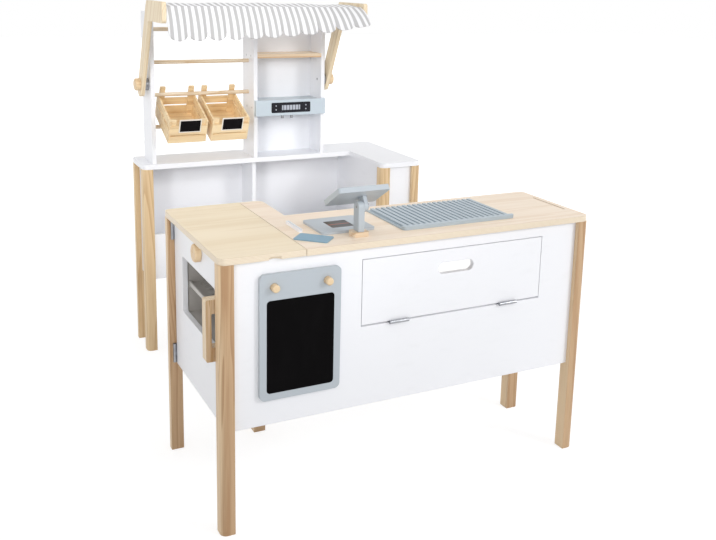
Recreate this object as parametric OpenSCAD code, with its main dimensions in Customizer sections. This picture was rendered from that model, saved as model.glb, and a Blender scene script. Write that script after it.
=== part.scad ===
// Toy market stall: a shop counter with an oven block in front, and a canopied stall behind it.
// X runs to the right, Y from the counter's front to the stall's back, and Z up from the floor.

/* [Counter] */
// Width of the counter
counter_w = 914; // [880:1:1000]
// Height of the counter tops above the floor
counter_h = 600; // [590:1:660]
// Depth of the main counter
main_d = 266; // [256:1:300]
// Depth of the oven block
block_d = 420; // [400:1:460]
// Width of the oven block where it reaches back past the main counter
block_w = 242; // [232:1:270]
// Width of the lid over the oven block
lid_w = 185; // [176:1:198]
// Thickness of the counter tops
top_t = 14; // [12:0.5:18]
// Corner radius of the counter tops and the stall top
top_r = 18; // [8:1:24]
// Side of the square legs
leg_s = 30; // [26:1:36]
// Radius of the legs' outer corners
leg_r = 14; // [4:1:18]
// Thickness of the panels
board_t = 12; // [9:0.5:14]
// Height of the panels' lower edges
panel_z = 227; // [180:1:250]
// Distance of the front and back panels behind the legs' faces
front_inset = 11; // [8:0.5:13]
// Distance of the side panels and the oven door behind the legs' faces
side_inset = 16; // [12:0.5:18]
// Radius of the finger notch under the lid's front edge
notch_r = 14; // [10:0.5:16]
// Height of that notch
notch_h = 6; // [4:0.5:8]
// Distance of the notch's middle from the lid's left edge
notch_x = 116; // [90:1:130]
// Length of the groove near the right end of the main top
groove_l = 126; // [80:1:160]
// Width of that groove
groove_w = 5; // [3:0.5:8]
// Distance of the groove from the right end of the main top
groove_inset = 17; // [12:1:30]

/* [Flap] */
// Distance of the drop-down flap's right end from the counter's right side
flap_end = 129; // [110:1:170]
// Height of the flap
flap_h = 146; // [120:1:150]
// Distance of the flap's top below the counter's top
flap_drop = 42; // [38:1:70]
// Distance from the chalkboard's frame to the flap
flap_space = 54; // [40:1:70]
// Gap between the flap and the panel at its sides and top
flap_gap = 1.5; // [1.25:0.25:3]
// Length of the flap's finger slot
flap_slot_w = 92; // [70:1:120]
// Height of the flap's finger slot
flap_slot_h = 26; // [20:1:32]
// Distance of the finger slot's middle below the flap's top
flap_slot_drop = 43; // [30:1:60]
// Distance of the flap hinges from the flap's ends
flap_hinge_inset = 90; // [60:1:140]

/* [Hinges] */
// Length of a hinge
hinge_l = 47; // [36:1:60]
// Outer diameter of the hinge barrels
barrel_d = 8; // [7:0.5:10]
// Diameter of the hinge pins
hinge_pin_d = 3; // [2:0.25:4]
// Thickness of the hinge leaves
leaf_t = 1.5; // [1:0.1:2]

/* [Oven] */
// Height of the oven door's window
window_h = 133; // [110:1:150]
// Distance of the oven door's window from the door's hinged edge
window_end = 63; // [50:1:90]
// Distance of the window below the door's top
window_drop = 72; // [66:1:85]
// Distance of the window behind the door's front edge
window_inset = 50; // [46:1:66]
// Height of the door handle
handle_h = 132; // [110:1:160]
// Distance the handle stands out from the door
handle_out = 33; // [28:1:45]
// Width of the handle along the door
handle_w = 24; // [16:1:28]
// Thickness of the handle's grip bar
grip_t = 12; // [9:0.5:14]
// Height of the handle's finger gap
grip_gap_h = 72; // [60:1:90]
// Distance of the handle behind the door's front edge
handle_inset = 6; // [4:1:12]
// Distance of the handle's top below the door's top
handle_drop = 78; // [66:1:95]
// Diameter of the oven knob
knob_d = 40; // [32:1:46]
// Thickness of the oven knob
knob_t = 14; // [10:1:15]
// Distance of the oven knob's middle below the door's top
knob_drop = 25; // [23:1:34]
// Distance of the oven knob behind the counter's front
knob_y = 188; // [120:1:300]
// Thickness of the oven liner's walls
liner_t = 6; // [4:0.5:8]
// Thickness of the oven rack
rack_t = 5; // [4:0.5:8]
// Height of the rack above the oven's floor
rack_rise = 70; // [50:1:95]

/* [Chalkboard] */
// Width of the chalkboard's frame
chalk_w = 180; // [150:1:190]
// Height of the chalkboard's frame
chalk_h = 272; // [240:1:290]
// Thickness of the chalkboard's frame
chalk_t = 8; // [6:0.5:9]
// Distance of the frame from the counter's left side
chalk_x = 84; // [60:1:95]
// Distance of the frame's top below the counter's top
chalk_drop = 44; // [38:1:60]
// Width of the frame's sides and foot around the writing surface
chalk_rim = 15; // [10:1:20]
// Height of the frame's head above the writing surface
chalk_head = 56; // [48:1:70]
// Diameter of the pegs
peg_d = 16.5; // [12:0.5:20]
// Distance the pegs stand out from the front panel
peg_l = 23; // [18:0.5:30]
// Distance between the pegs
peg_span = 118; // [90:1:126]

/* [Counter things] */
// Width of the conveyor board
conveyor_w = 296; // [240:1:320]
// Depth of the conveyor board
conveyor_d = 180; // [150:1:190]
// Number of ridges on the conveyor board
ridge_n = 20; // [12:1:24]
// Height of the ridges above the counter
ridge_h = 7; // [5:0.5:10]
// Distance of the conveyor board behind the counter's front
conveyor_y = 47; // [35:1:60]
// Width of the scanner plate
scanner_w = 128; // [110:1:136]
// Depth of the scanner plate
scanner_d = 115; // [90:1:125]
// Thickness of the scanner plate
scanner_t = 5; // [4:0.5:8]
// Distance of the scanner plate from the counter's left side
scanner_x = 255; // [250:1:262]
// Distance of the scanner plate behind the counter's front
scanner_y = 80; // [80:1:90]
// Side of the scanner's square window
scan_side = 54; // [40:1:64]
// Space between the scanner plate and the conveyor board
conveyor_space = 52; // [30:1:60]
// Distance of the monitor's post from the scanner plate's left edge
monitor_in = 73; // [60:1:80]
// Width of the monitor
monitor_w = 120; // [100:1:140]
// Depth of the monitor along its slope
monitor_d = 87; // [70:1:96]
// Thickness of the monitor
monitor_t = 12; // [9:0.5:15]
// Slope of the monitor in degrees
monitor_tilt = 31; // [20:1:38]
// Height of the monitor's tilt bolt above the counter
monitor_bolt_z = 63; // [55:1:75]
// Diameter of the tilt bolt
monitor_bolt_d = 6; // [4:0.5:8]
// Thickness of the monitor's post
post_t = 14; // [10:1:18]
// Depth of the monitor's post
post_d = 24; // [20:1:28]
// Length of the bank card
card_l = 76; // [70:1:86]
// Width of the bank card
card_w = 48; // [44:1:54]
// Thickness of the bank card
card_t = 2; // [1:0.25:3]
// Turn of the bank card on the counter in degrees
card_turn = -43; // [-60:1:-30]
// Distance of the bank card's middle from the lid
card_in = 43; // [40:1:48]
// Distance of the bank card's middle behind the counter's front
card_y = 66; // [60:1:68]
// Distance of the card slot from the lid
swipe_in = 36; // [30:1:44]
// Distance of the card slot behind the counter's front
swipe_y = 118; // [116:1:140]
// Length of the card slot's strip
swipe_l = 80; // [60:1:100]
// Width of the card slot's strip
swipe_w = 8; // [7:0.5:12]
// Height of the card slot's strip
swipe_h = 7; // [6:0.5:12]

/* [Stall] */
// Distance of the stall from the counter's left side
stall_x = 88; // [60:1:120]
// Distance of the stall's front behind the counter's front
stall_y = 1001; // [900:1:1100]
// Width of the stall
stall_w = 818; // [790:1:900]
// Depth of the stall
stall_d = 145; // [140:1:180]
// Height of the stall's top above the floor
stall_h = 586; // [560:1:640]
// Thickness of the stall's top
stall_top_t = 15; // [12:0.5:20]
// Width of the extension at the stall's right end
ext_w = 139; // [110:1:160]
// Distance the extension reaches forward
ext_d = 223; // [180:1:260]
// Height of the front board of the bins
bin_h = 140; // [100:1:200]
// Distance of the bins' divider from the stall's left side
bin_x = 349; // [300:1:380]

/* [Uprights] */
// Height of the uprights above the stall's top
upright_h = 446; // [440:1:460]
// Depth of the uprights
upright_d = 100; // [90:1:115]
// Distance of the uprights behind the stall's front
upright_inset = 5; // [3:0.5:12]
// Width of the bay with the rods
bay_w = 306; // [290:1:330]
// Width of the niche beside it
niche_w = 214; // [200:1:240]
// Diameter of the rods
rod_d = 12; // [10:0.5:14]
// Height of the lowest rod above the stall's top
rod_z = 104; // [98:1:112]
// Distance between the rods
rod_pitch = 97; // [92:1:102]
// Number of rods
rod_n = 4; // [3:1:4]
// Height of the niche's shelf above the stall's top
shelf_z = 308; // [250:1:340]

/* [Dispenser] */
// Height of the dispenser's front above the stall's top
dispenser_z = 130; // [105:1:160]
// Height of the dispenser's front
dispenser_h = 49; // [40:1:70]
// Distance the dispenser's front overlaps each upright
dispenser_lap = 10; // [4:1:12]
// Width of the display
display_w = 131; // [100:1:160]
// Height of the display
display_h = 32; // [24:1:36]
// Diameter of the spouts
spout_d = 9; // [6:0.5:12]
// Length of the spouts
spout_l = 18; // [10:1:24]
// Distance between the spouts
spout_span = 31; // [20:1:50]

/* [Crates] */
// Width of a crate
crate_w = 114; // [104:1:120]
// Depth of a crate
crate_d = 160; // [130:1:175]
// Tilt of the crates in degrees
crate_tilt = 24; // [18:1:28]
// Distance between the middles of the crates
crate_span = 129; // [124:1:140]
// Distance of the crates' middle to the left of the bay's middle
crate_shift = 8; // [0:1:10]
// Thickness of the crates' slats
slat_t = 5; // [4:0.5:6]
// Height of the crates' upper side slats
slat_h = 24; // [20:1:30]
// Gap between the crates' slats
slat_gap = 6; // [5:0.5:10]
// Distance the crates' back stays below their sides
back_drop = 14; // [8:1:20]
// Height of the crates' front
crate_front_h = 58; // [50:1:64]
// Width of the crates' corner posts
crate_post_w = 16; // [12:1:20]
// Thickness of the crates' corner posts
crate_post_t = 8; // [6:0.5:10]
// Distance the back posts stand above their rod
crate_post_rise = 14; // [10:1:24]
// Width of a crate's label
label_w = 66; // [50:1:80]
// Height of a crate's label
label_h = 43; // [34:1:50]
// Thickness of a crate's label
label_t = 2.5; // [1.5:0.5:4]
// Distance of the label's middle to the right of the crate's middle
label_shift = 4; // [0:1:10]
// Distance the label stands above the crate's front
label_rise = 22; // [10:1:26]

/* [Canopy] */
// Height of the canopy's pivots above the stall's top
pivot_z = 236; // [225:1:250]
// Distance of the pivots behind the uprights' front
pivot_in = 31; // [25:1:45]
// Thickness of the canopy's arms
arm_t = 12; // [9:0.5:15]
// Width of the canopy's arms
arm_w = 42; // [36:1:50]
// Lean of the arms in degrees
arm_lean = 27; // [20:1:32]
// Distance the arms reach below their pivots
arm_foot = 39; // [34:1:50]
// Height of the heads' top above the pivots
head_rise = 246; // [240:1:270]
// Length of the heads
head_l = 174; // [150:1:200]
// Height of the heads
head_h = 56; // [50:1:70]
// Length of the spacers between the uprights and the arms
spacer_l = 12; // [8:0.5:16]
// Diameter of the spacers
spacer_d = 36; // [28:1:40]
// Diameter of the pivot bolts
bolt_d = 8; // [6:0.5:10]
// Diameter of the canopy's knobs
grip_d = 36; // [30:1:42]
// Thickness of the canopy's knobs
grip_l = 16; // [13:1:22]
// Diameter of the canopy's rods
canopy_rod_d = 10; // [8:0.5:14]
// Thickness of the canopy's cloth
cloth_t = 2; // [1.5:0.25:3]
// Length of the valance
valance_l = 94; // [70:1:110]
// Angle between the valance's left end and the vertical in degrees
valance_lean = 22; // [0:1:45]
// Angle by which the valance's right end stands off further in degrees
valance_twist = 38; // [0:1:40]
// Number of scallops along the valance
scallop_n = 11; // [9:1:13]
// Depth of the scallops
scallop_h = 26; // [12:1:30]

/* [Clearances] */
// Gap between a moving piece and what it rests on
rest_gap = 0.3; // [0.2:0.05:0.5]
// Radial clearance of a pin or shaft in its hole
run_gap = 0.05; // [0.02:0.01:0.1]
// Gap around doors and lids
door_gap = 1.5; // [1:0.25:2]

/* [Hidden] */
$fn = 48;

PINE = [0.84, 0.70, 0.52];
BEECH = [0.94, 0.86, 0.75];
CRATE = [0.84, 0.71, 0.50];
WHITE = [0.95, 0.96, 0.98];
GREY = [0.74, 0.79, 0.82];
STEEL = [0.65, 0.66, 0.68];
BLACK = [0.06, 0.06, 0.07];
BLUE = [0.51, 0.67, 0.77];

// Heights and places that follow from the sizes above
eps = 0.01;
cut = 1;
leg_h = counter_h - top_t;
stall_leg_h = stall_h - stall_top_t;
handle_tip = side_inset - handle_out;
peg_tip = front_inset - peg_l;
origin_x = (counter_w + handle_tip) / 2;
origin_y = (stall_y + stall_d + peg_tip) / 2;
barrel_r = barrel_d / 2;
hinge_off = barrel_r + rest_gap;
hinge_gap = 2 * leaf_t + 2 * rest_gap;
leaf_rim = 2;
leaf_d = board_t - leaf_rim;
knuckle_l = hinge_l / 3;

// Flap
flap_x = chalk_x + chalk_w + flap_space;
flap_w = counter_w - flap_end - flap_x;
flap_z = counter_h - flap_drop - flap_h;
flap_axis_y = front_inset - hinge_off;
flap_axis_z = flap_z - hinge_gap / 2;

// Oven side
door_y0 = leg_s + door_gap;
door_y1 = block_d - leg_s - hinge_gap;
door_z0 = panel_z;
door_z1 = leg_h - door_gap;
door_axis_x = side_inset - hinge_off;
door_axis_y = block_d - leg_s - hinge_gap / 2;
door_hinge_inset = 26;
window_y0 = door_y0 + window_inset;
window_d = door_y1 - window_end - window_y0;
window_z1 = door_z1 - window_drop;
window_z0 = window_z1 - window_h;
window_r = 6;
liner_room = 4;
liner_x0 = side_inset + board_t + door_gap;
divider_x = lid_w - board_t / 2;
liner_y0 = window_y0 - liner_room;
liner_y1 = window_y0 + window_d + liner_room;
liner_z0 = window_z0 - liner_room;
liner_z1 = window_z1 + liner_room;
runner = 6;
knob_z = door_z1 - knob_drop;
knob_shaft_d = 8;
knob_gap = 0.5;
mark_w = 3;
mark_t = 2;
washer_d = 16;
washer_t = 3;
handle_r = 4;
rack_in = 2;
rack_slot_n = 9;
rack_slot_share = 0.42;
rack_slot_rim = 22;

// Lid
lid_z = leg_h + rest_gap;
lid_axis_y = block_d + hinge_off;
lid_axis_z = lid_z - hinge_gap / 2;
lid_hinge_inset = 10;
notch_out = notch_r / 3;

// Chalkboard
chalk_y = front_inset - rest_gap - chalk_t;
chalk_mid = chalk_x + chalk_w / 2;
chalk_z = counter_h - chalk_drop - chalk_h;
peg_z = chalk_z + chalk_h - chalk_head / 2;
peg_clear = 0.5;
peg_step = 2.5;
peg_shank_d = peg_d - 2 * peg_step;
peg_wall = 4;
peg_shank_l = board_t - peg_wall;
chalk_r = 12;
slate_r = 8;
slate_t = 2;

// Things on the counter
conveyor_x = scanner_x + scanner_w + conveyor_space;
rail_w = 12;
rail_rise = 1;
tray_t = 3;
tray_r = 8;
ridge_share = 0.62;
ridge_rim = 1;
plate_r = 10;
pane_in = 2;
pane_t = 1.5;
pane_r = 4;
foot_w = 36;
foot_d = 32;
foot_t = 10;
foot_gap = 10;
foot_r = 6;
screen_rim = 8;
screen_in = 1.5;
screen_t = 1.2;
screen_r = 3;
bolt_head_t = 4;
card_r = 5;
slit_w = 2.5;
slit_z = 2;
swipe_r = 2;
monitor_x = scanner_x + monitor_in;
monitor_y = scanner_y - foot_gap - foot_d / 2;
cheek_t = 9;
monitor_bolt_up = 32;
card_x = lid_w + card_in;
swipe_x = lid_w + swipe_in;

// Stall
bay_x = leg_s;
middle_x = bay_x + board_t + bay_w;
right_x = middle_x + board_t + niche_w;
upright_y1 = upright_inset + upright_d;
rod_y = upright_inset + upright_d / 2;
rod_in = board_t / 2;
ext_x = stall_w - ext_w;
stall_back_y = stall_d - front_inset - board_t;
ext_wall_inset = 14;
ext_wall_x = ext_x + ext_wall_inset;

// Dispenser
dispenser_step = 4;
dispenser_y = upright_inset - board_t;
display_in = 1;
display_t = 1.5;
display_r = 4;
spout_in = 22;

// Where a crate hangs: its posts behind the second rod and its floor on the lowest rod
rod_r = rod_d / 2;
hang_in = slat_t + crate_post_t + rod_r + rest_gap;
hang_up = rod_pitch * cos(crate_tilt) - rod_r - rest_gap;
crates_x = bay_x + board_t + bay_w / 2 - crate_shift;
crate_rod_room = 2;
crate_side_h = hang_up - rod_r - crate_rod_room;
crate_low_h = crate_side_h - slat_gap - slat_h;
crate_back_h = crate_side_h - back_drop;
crate_back_share = 0.58;
crate_back_low_h = (crate_back_h - slat_gap) * crate_back_share;
crate_front_share = 0.42;
crate_front_low_h = (crate_front_h - slat_gap) * crate_front_share;

// Canopy
pivot_y = upright_inset + pivot_in;
pivot_h = stall_h + pivot_z;
arm_left_x = bay_x - spacer_l - arm_t;
arm_right_x = right_x + board_t + spacer_l;
head_top = pivot_h + head_rise;
stem_l = (head_rise - arm_w / 2) / cos(arm_lean);
head_trim = 4;
head_reach = (head_rise - arm_w / 2) * tan(arm_lean);
head_rear_y = pivot_y - head_reach + arm_w / 2 * cos(arm_lean) - head_trim;
head_front_y = head_rear_y - head_l;
head_r = 9;
canopy_rod_r = canopy_rod_d / 2;
canopy_rod_drop = 18;
canopy_rod_z = head_top - canopy_rod_drop;
canopy_rod_front = head_front_y + canopy_rod_drop;
canopy_rod_rear = head_rear_y - canopy_rod_drop;
bolt_end = 5;
bore_end = 4;

// Canopy cloth: its run goes from behind the rear rod, over both rods and down the valance
cloth_gap = 1;
cloth_x0 = arm_left_x + arm_t + cloth_gap;
cloth_x1 = arm_right_x - cloth_gap;
wrap_step = 45;
cloth_r = (canopy_rod_r + rest_gap) / cos(wrap_step / 2);
cloth_tail = 16;
cloth_sag = 4;
wave_h = 3;
span_y = canopy_rod_rear - canopy_rod_front;
span_n = 3;
valance_rows = 3;
scallop_columns = 4;
cloth_columns = scallop_n * scallop_columns;

// A box between two corners
module box(low, high) {
    translate(low) cube(high - low);
}

// Waste outside a rounded corner at the origin, with the material towards +X and +Y
module corner_waste(r) {
    difference() {
        translate([-cut, -cut]) square(r + cut);
        translate([r, r]) circle(r);
    }
}

// A rectangle with its own radius at the front left, front right, back right and back left corners
module plate_2d(size, radii) {
    corners = [[0, 0], [size.x, 0], [size.x, size.y], [0, size.y]];
    difference() {
        square(size);
        for (i = [0 : 3]) {
            if (radii[i] > 0) {
                translate(corners[i]) rotate(90 * i) corner_waste(radii[i]);
            }
        }
    }
}

// A plate with rounded corners, its lower front left corner at the origin
module plate(size, radii) {
    linear_extrude(size.z) plate_2d([size.x, size.y], radii);
}

// A slot with round ends, centred at the origin and long in X
module stadium_2d(w, h) {
    square([w - h, h], center = true);
    for (side = [-1, 1]) {
        translate([side * (w - h) / 2, 0]) circle(h / 2);
    }
}

// A flat shape drawn in Y and Z, stretched along X
module along_x(length) {
    rotate([90, 0, 90]) linear_extrude(length) children();
}

// A flat shape drawn in X and Z, stretched along Y
module along_y(length) {
    translate([0, length, 0]) rotate([90, 0, 0]) linear_extrude(length) children();
}

// A round bar along X
module bar_x(d, x0, x1) {
    translate([x0, 0, 0]) rotate([0, 90, 0]) cylinder(d = d, h = x1 - x0);
}

// A turned knob along -X with rounded edges, its flat back at the origin
module turned_knob(d, t, edge) {
    rotate([0, -90, 0]) rotate_extrude() {
        square([d / 2, t - edge]);
        square([d / 2 - edge, t]);
        translate([d / 2 - edge, t - edge]) circle(edge);
    }
}

// Moves from the counter's front left corner to the part's origin
module on_counter() {
    translate([-origin_x, -origin_y, 0]) children();
}

// Moves from the stall's front left corner to the part's origin
module on_stall() {
    translate([stall_x - origin_x, stall_y - origin_y, 0]) children();
}

// A square leg with one rounded corner, turned to face outwards
module leg(x, y, turn, height) {
    translate([x + leg_s / 2, y + leg_s / 2, 0]) rotate(turn) {
        translate([-leg_s / 2, -leg_s / 2, 0]) plate([leg_s, leg_s, height], [leg_r, 0, 0, 0]);
    }
}

// Fixed half of a butt hinge: two knuckles, the pin and a leaf below the gap, on an axis along X
module hinge_fixed() {
    for (side = [-1, 1]) {
        translate([side * knuckle_l, 0, 0]) {
            bar_x(barrel_d, -(knuckle_l - rest_gap) / 2, (knuckle_l - rest_gap) / 2);
            hinge_neck(-hinge_gap / 2);
        }
    }
    bar_x(hinge_pin_d, -hinge_l / 2, hinge_l / 2);
    translate([-hinge_l / 2, hinge_off, -hinge_gap / 2]) cube([hinge_l, leaf_d, leaf_t]);
}

// Moving half of a butt hinge: the middle knuckle and a leaf above the gap
module hinge_moving() {
    difference() {
        bar_x(barrel_d, -(knuckle_l - rest_gap) / 2, (knuckle_l - rest_gap) / 2);
        bar_x(hinge_pin_d + 2 * run_gap, -knuckle_l, knuckle_l);
    }
    hinge_neck(hinge_gap / 2 - leaf_t);
    translate([-hinge_l / 2, hinge_off, hinge_gap / 2 - leaf_t]) cube([hinge_l, leaf_d, leaf_t]);
}

// The strip that joins a knuckle to its leaf
module hinge_neck(z) {
    neck_y = hinge_pin_d / 2 + (barrel_r - hinge_pin_d / 2) / 2;
    translate([-(knuckle_l - rest_gap) / 2, neck_y, z]) {
        cube([knuckle_l - rest_gap, hinge_off - neck_y + eps, leaf_t]);
    }
}

// Places of the three hinge pairs
module at_flap_hinges() {
    for (x = [flap_x + flap_hinge_inset, flap_x + flap_w - flap_hinge_inset]) {
        translate([x, flap_axis_y, flap_axis_z]) children();
    }
}

module at_lid_hinges() {
    for (x = [leg_s + lid_hinge_inset + hinge_l / 2, divider_x - lid_hinge_inset - hinge_l / 2]) {
        translate([x, lid_axis_y, lid_axis_z]) rotate(180) children();
    }
}

module at_door_hinges() {
    for (z = [door_z0 + door_hinge_inset, door_z1 - door_hinge_inset]) {
        translate([door_axis_x, door_axis_y, z]) rotate([90, 90, 0]) children();
    }
}

// The leg behind the oven door has a hollow for each hinge barrel
module counter_legs() {
    color(PINE) on_counter() {
        leg(0, 0, 0, leg_h);
        leg(counter_w - leg_s, 0, 90, leg_h);
        leg(counter_w - leg_s, main_d - leg_s, 180, leg_h);
        leg(block_w - leg_s, block_d - leg_s, 180, leg_h);
        difference() {
            leg(0, block_d - leg_s, 270, leg_h);
            at_door_hinges() bar_x(barrel_d + 2 * rest_gap, -hinge_l / 2 - rest_gap, hinge_l / 2 + rest_gap);
        }
    }
}

module front_panel() {
    color(WHITE) on_counter() difference() {
        box([leg_s, front_inset, panel_z], [counter_w - leg_s, front_inset + board_t, leg_h]);
        box([flap_x - flap_gap, front_inset - cut, flap_z - hinge_gap],
            [flap_x + flap_w + flap_gap, front_inset + board_t + cut, flap_z + flap_h + flap_gap]);
        at_pegs() translate([0, 0, -cut]) cylinder(d = peg_shank_d, h = peg_shank_l + cut);
    }
}

module right_panel() {
    color(WHITE) on_counter() {
        box([counter_w - side_inset - board_t, leg_s, panel_z],
            [counter_w - side_inset, main_d - leg_s, leg_h]);
    }
}

// Back and right side of the oven block, behind the main counter
module block_panels() {
    color(WHITE) on_counter() {
        box([leg_s, block_d - board_t, panel_z], [block_w - leg_s, block_d, lid_z - hinge_gap]);
        box([block_w - side_inset - board_t, main_d - front_inset, panel_z],
            [block_w - side_inset, block_d - leg_s, leg_h]);
    }
}

// Upright board under the seam between the lid and the main top
module block_divider() {
    color(WHITE) on_counter() {
        box([divider_x, front_inset + board_t, panel_z], [divider_x + board_t, block_d - board_t, leg_h]);
    }
}

module counter_floors() {
    color(WHITE) on_counter() {
        box([leg_s, front_inset + board_t, panel_z], [divider_x, block_d - board_t, panel_z + board_t]);
        box([divider_x + board_t, front_inset + board_t, panel_z],
            [counter_w - leg_s, main_d - front_inset, panel_z + board_t]);
    }
}

// The L-shaped top, with the groove near its right end
module main_top() {
    color(BEECH) on_counter() difference() {
        translate([0, 0, leg_h]) linear_extrude(top_t) {
            translate([lid_w, 0]) plate_2d([counter_w - lid_w, main_d], [0, top_r, top_r, 0]);
            translate([lid_w, main_d - cut]) {
                plate_2d([block_w - lid_w, block_d - main_d + cut], [0, 0, top_r, 0]);
            }
        }
        translate([counter_w - groove_inset, main_d / 2, counter_h - top_t / 2]) rotate(90) {
            linear_extrude(top_t) stadium_2d(groove_l, groove_w);
        }
    }
}

module lid() {
    color(BEECH) on_counter() difference() {
        translate([0, 0, lid_z]) plate([lid_w - door_gap, block_d, counter_h - lid_z], [top_r, 0, 0, top_r]);
        translate([notch_x, -notch_out, lid_z - cut]) cylinder(r = notch_r, h = notch_h + cut);
    }
}

module lid_hinge_leaves() {
    color(STEEL) on_counter() at_lid_hinges() hinge_moving();
}

module flap_door() {
    color(WHITE) on_counter() difference() {
        box([flap_x, front_inset, flap_z], [flap_x + flap_w, front_inset + board_t, flap_z + flap_h]);
        translate([flap_x + flap_w / 2, front_inset - cut, flap_z + flap_h - flap_slot_drop]) {
            along_y(board_t + 2 * cut) stadium_2d(flap_slot_w, flap_slot_h);
        }
    }
}

module flap_hinge_leaves() {
    color(STEEL) on_counter() at_flap_hinges() hinge_moving();
}

module oven_door() {
    radii = [window_r, window_r, window_r, window_r];
    color(WHITE) on_counter() difference() {
        box([side_inset, door_y0, door_z0], [side_inset + board_t, door_y1, door_z1]);
        translate([side_inset - cut, window_y0, window_z0]) {
            along_x(board_t + 2 * cut) plate_2d([window_d, window_h], radii);
        }
        translate([0, knob_y, knob_z]) bar_x(knob_shaft_d + 2 * run_gap, 0, side_inset + board_t + cut);
    }
}

// A bow handle: two feet on the door and a grip bar between them
module oven_handle() {
    gap_r = handle_r / 2;
    color(PINE) on_counter() {
        translate([handle_tip, door_y0 + handle_inset, door_z1 - handle_drop - handle_h]) along_y(handle_w) {
            difference() {
                plate_2d([handle_out, handle_h], [handle_r, 0, 0, handle_r]);
                translate([grip_t, (handle_h - grip_gap_h) / 2]) {
                    plate_2d([handle_out, grip_gap_h], [gap_r, 0, 0, gap_r]);
                }
            }
        }
    }
}

module oven_hinge_leaves() {
    color(STEEL) on_counter() at_door_hinges() hinge_moving();
}

module hinge_barrels() {
    color(STEEL) on_counter() {
        at_flap_hinges() hinge_fixed();
        at_lid_hinges() hinge_fixed();
        at_door_hinges() hinge_fixed();
    }
}

// The knob turns on a shaft through the door, and a groove in its face shows its setting
module oven_knob() {
    edge = knob_t / 3;
    color(PINE) on_counter() translate([side_inset - knob_gap, knob_y, knob_z]) {
        difference() {
            turned_knob(knob_d, knob_t, edge);
            box([-knob_t - cut, -mark_w / 2, 0], [-knob_t + mark_t, mark_w / 2, knob_d / 2 + cut]);
        }
        bar_x(knob_shaft_d, -eps, knob_gap + board_t + knob_gap);
        translate([knob_gap + board_t + knob_gap, 0, 0]) bar_x(washer_d, 0, washer_t);
    }
}

// Five walls round the oven, with a runner at each end for the rack
module oven_liner() {
    color(GREY) on_counter() {
        difference() {
            box([liner_x0, liner_y0 - liner_t, liner_z0 - liner_t],
                [divider_x, liner_y1 + liner_t, liner_z1 + liner_t]);
            box([liner_x0 - cut, liner_y0, liner_z0], [divider_x - liner_t, liner_y1, liner_z1]);
        }
        for (y = [liner_y0, liner_y1 - runner]) {
            box([liner_x0, y - eps, liner_z0 + rack_rise - rack_t - runner],
                [divider_x - liner_t + eps, y + runner + eps, liner_z0 + rack_rise - rack_t]);
        }
    }
}

// A slotted rack with a raised front lip
module oven_rack() {
    rack_z = liner_z0 + rack_rise;
    rack_w = liner_y1 - liner_y0 - 2 * door_gap;
    rack_x1 = divider_x - liner_t - door_gap;
    rack_x0 = liner_x0 + rack_in;
    slot_pitch = rack_w / rack_slot_n;
    color(GREY) on_counter() translate([0, liner_y0 + door_gap, 0]) difference() {
        union() {
            box([rack_x0, 0, rack_z - rack_t], [rack_x1, rack_w, rack_z]);
            box([rack_x0, 0, rack_z - eps], [rack_x0 + rack_t, rack_w, rack_z + rack_t]);
        }
        for (i = [0 : rack_slot_n - 1]) {
            translate([(rack_x0 + rack_x1 + rack_t) / 2, slot_pitch * (i + 0.5), rack_z - rack_t - cut]) {
                linear_extrude(rack_t + 2 * cut) {
                    stadium_2d(rack_x1 - rack_x0 - 2 * rack_slot_rim, slot_pitch * rack_slot_share);
                }
            }
        }
    }
}

// Places of the two pegs on the front panel, with +Z pointing into the panel
module at_pegs() {
    for (side = [-1, 1]) {
        translate([chalk_mid + side * peg_span / 2, front_inset, peg_z]) rotate([-90, 0, 0]) children();
    }
}

module chalkboard_frame() {
    radii = [chalk_r, chalk_r, chalk_r, chalk_r];
    color(GREY) on_counter() difference() {
        translate([chalk_x, chalk_y, chalk_z]) along_y(chalk_t) plate_2d([chalk_w, chalk_h], radii);
        slate(slate_t + cut, -cut);
        at_pegs() translate([0, 0, -chalk_t - 2 * cut]) {
            cylinder(d = peg_d + 2 * peg_clear, h = chalk_t + 3 * cut);
        }
    }
}

// The writing surface, let into the frame
module slate(depth, lift) {
    radii = [slate_r, slate_r, slate_r, slate_r];
    translate([chalk_x + chalk_rim, chalk_y + lift, chalk_z + chalk_rim]) {
        along_y(depth) plate_2d([chalk_w - 2 * chalk_rim, chalk_h - chalk_rim - chalk_head], radii);
    }
}

module chalkboard() {
    color(BLACK) on_counter() slate(slate_t, 0);
}

module chalkboard_pegs() {
    edge = peg_d / 5;
    color(PINE) on_counter() at_pegs() {
        cylinder(d = peg_shank_d, h = peg_shank_l);
        rotate([180, 0, 0]) rotate_extrude() {
            square([peg_d / 2, peg_l - edge]);
            square([peg_d / 2 - edge, peg_l]);
            translate([peg_d / 2 - edge, peg_l - edge]) circle(edge);
        }
    }
}

// A tray with a rail along its front
module conveyor_tray() {
    color(GREY) on_counter() translate([conveyor_x, conveyor_y, counter_h]) {
        plate([conveyor_w, conveyor_d, tray_t], [tray_r, tray_r, 0, 0]);
        plate([conveyor_w, rail_w, ridge_h + rail_rise], [tray_r, tray_r, 0, 0]);
    }
}

// Ridges from front to back, like the slats of a conveyor belt
module conveyor_ridges() {
    pitch = (conveyor_w - rail_w) / ridge_n;
    ridge_w = pitch * ridge_share;
    color(GREY) on_counter() translate([conveyor_x + rail_w / 2, conveyor_y + rail_w + ridge_rim, 0]) {
        for (i = [0 : ridge_n - 1]) {
            translate([pitch * (i + 0.5) - ridge_w / 2, 0, counter_h + tray_t]) {
                cube([ridge_w, conveyor_d - rail_w - 2 * ridge_rim, ridge_h - tray_t]);
            }
        }
    }
}

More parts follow.
